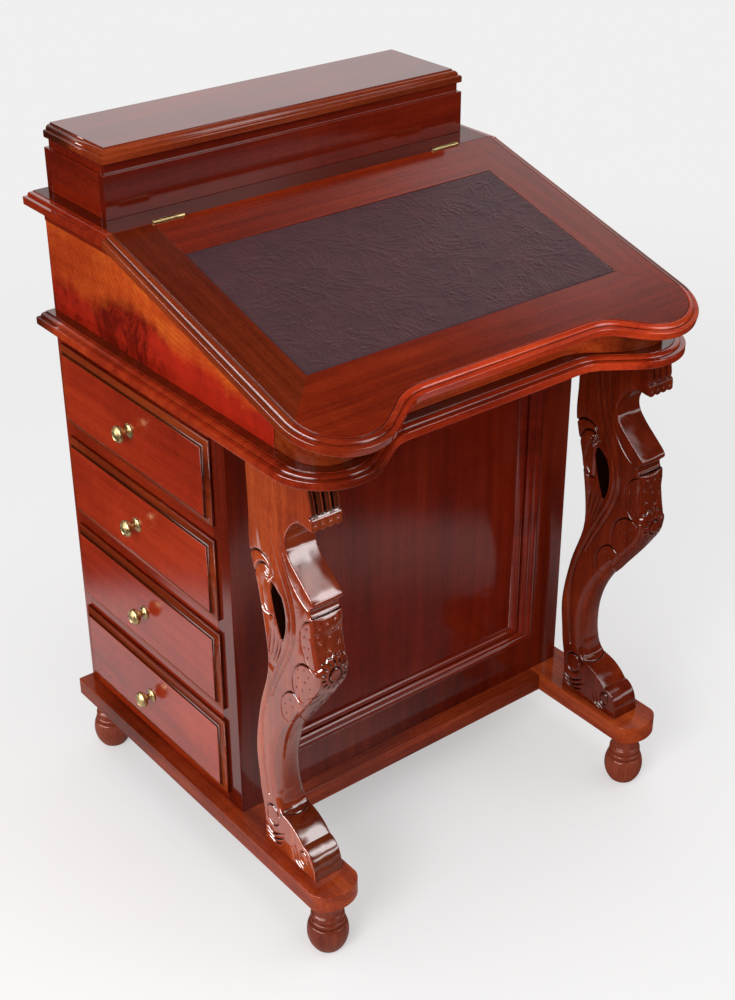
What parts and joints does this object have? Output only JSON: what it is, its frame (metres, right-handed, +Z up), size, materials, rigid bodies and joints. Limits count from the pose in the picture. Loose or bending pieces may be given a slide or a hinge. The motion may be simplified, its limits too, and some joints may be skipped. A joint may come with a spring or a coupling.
{
  "type": "davenport desk",
  "caption": "Compact writing desk with a leather-lined slope over a side-drawer pedestal, carved front supports, a lidded pen box and turned bun feet.",
  "frame": {"origin": "on the floor at the centre of the desk's bounding box in plan", "axes": "+Z up, +Y away from the sitter, +X to the sitter's right; the working drawers open towards -X"},
  "size_m": [0.5528, 0.5452, 0.8339],
  "materials": {
    "mahogany": "french-polished red mahogany",
    "figured_mahogany": "polished figured mahogany, orange-red",
    "drawer_mahogany": "polished mahogany, straight grain",
    "inner_wood": "unpolished secondary hardwood",
    "leather": "dark oxblood, crinkled grain",
    "brass": "aged, softly polished"
  },
  "bodies": {
    "desk": {"bun_feet": "mahogany", "runner_left": "mahogany", "runner_right": "mahogany", "base_rails": "mahogany", "pedestal_front_frame": "mahogany", "pedestal_front_panel": "mahogany", "pedestal_front_beads": "mahogany", "pedestal_back_frame": "mahogany", "pedestal_back_panel": "mahogany", "drawer_rails": "mahogany", "drawer_runners": "inner_wood", "pedestal_right_side": "mahogany", "blind_fronts": "drawer_mahogany", "blind_knobs": "brass", "support_left": "figured_mahogany", "support_right": "figured_mahogany", "desk_bottom_board": "mahogany", "desk_side_left": "figured_mahogany", "desk_side_right": "figured_mahogany", "desk_back": "mahogany", "desk_front_rail": "mahogany", "shelf_board": "mahogany", "lid_hinge_fixed_leaves": "brass", "lid_hinge_fixed_screws": "brass", "lid_hinge_pins": "brass", "pen_box_front": "mahogany", "pen_box_back": "mahogany", "pen_box_ends": "mahogany", "pen_hinge_fixed_leaves": "brass", "pen_hinge_pins": "brass"},
    "slope_lid": {"lid_stiles": "mahogany", "lid_top_rail": "mahogany", "lid_front_rail": "mahogany", "lid_core": "mahogany", "lid_leather": "leather", "lid_hinge_moving_leaves": "brass", "lid_hinge_moving_screws": "brass"},
    "pen_lid": {"pen_lid": "mahogany", "pen_hinge_moving_leaves": "brass"},
    "drawer_1": {"drawer_1_front": "drawer_mahogany", "drawer_1_sides": "inner_wood", "drawer_1_back": "inner_wood", "drawer_1_bottom": "inner_wood", "drawer_1_knob": "brass"},
    "drawer_2": {"drawer_2_front": "drawer_mahogany", "drawer_2_sides": "inner_wood", "drawer_2_back": "inner_wood", "drawer_2_bottom": "inner_wood", "drawer_2_knob": "brass"},
    "drawer_3": {"drawer_3_front": "drawer_mahogany", "drawer_3_sides": "inner_wood", "drawer_3_back": "inner_wood", "drawer_3_bottom": "inner_wood", "drawer_3_knob": "brass"},
    "drawer_4": {"drawer_4_front": "drawer_mahogany", "drawer_4_sides": "inner_wood", "drawer_4_back": "inner_wood", "drawer_4_bottom": "inner_wood", "drawer_4_knob": "brass"}
  },
  "joints": [
    {"name": "slope_lid_hinge", "type": "hinge", "parent": "desk", "child": "slope_lid", "pos_m": [0, 0.0978, 0.7595], "axis": [-1, 0, 0], "range_deg": [0, 130]},
    {"name": "pen_lid_hinge", "type": "hinge", "parent": "desk", "child": "pen_lid", "pos_m": [0, 0.2588, 0.81815], "axis": [-1, 0, 0], "range_deg": [0, 95]},
    {"name": "drawer_1_slide", "type": "slide", "parent": "desk", "child": "drawer_1", "axis": [-1, 0, 0], "range_m": [0, 0.36]},
    {"name": "drawer_2_slide", "type": "slide", "parent": "desk", "child": "drawer_2", "axis": [-1, 0, 0], "range_m": [0, 0.36]},
    {"name": "drawer_3_slide", "type": "slide", "parent": "desk", "child": "drawer_3", "axis": [-1, 0, 0], "range_m": [0, 0.36]},
    {"name": "drawer_4_slide", "type": "slide", "parent": "desk", "child": "drawer_4", "axis": [-1, 0, 0], "range_m": [0, 0.36]}
  ]
}
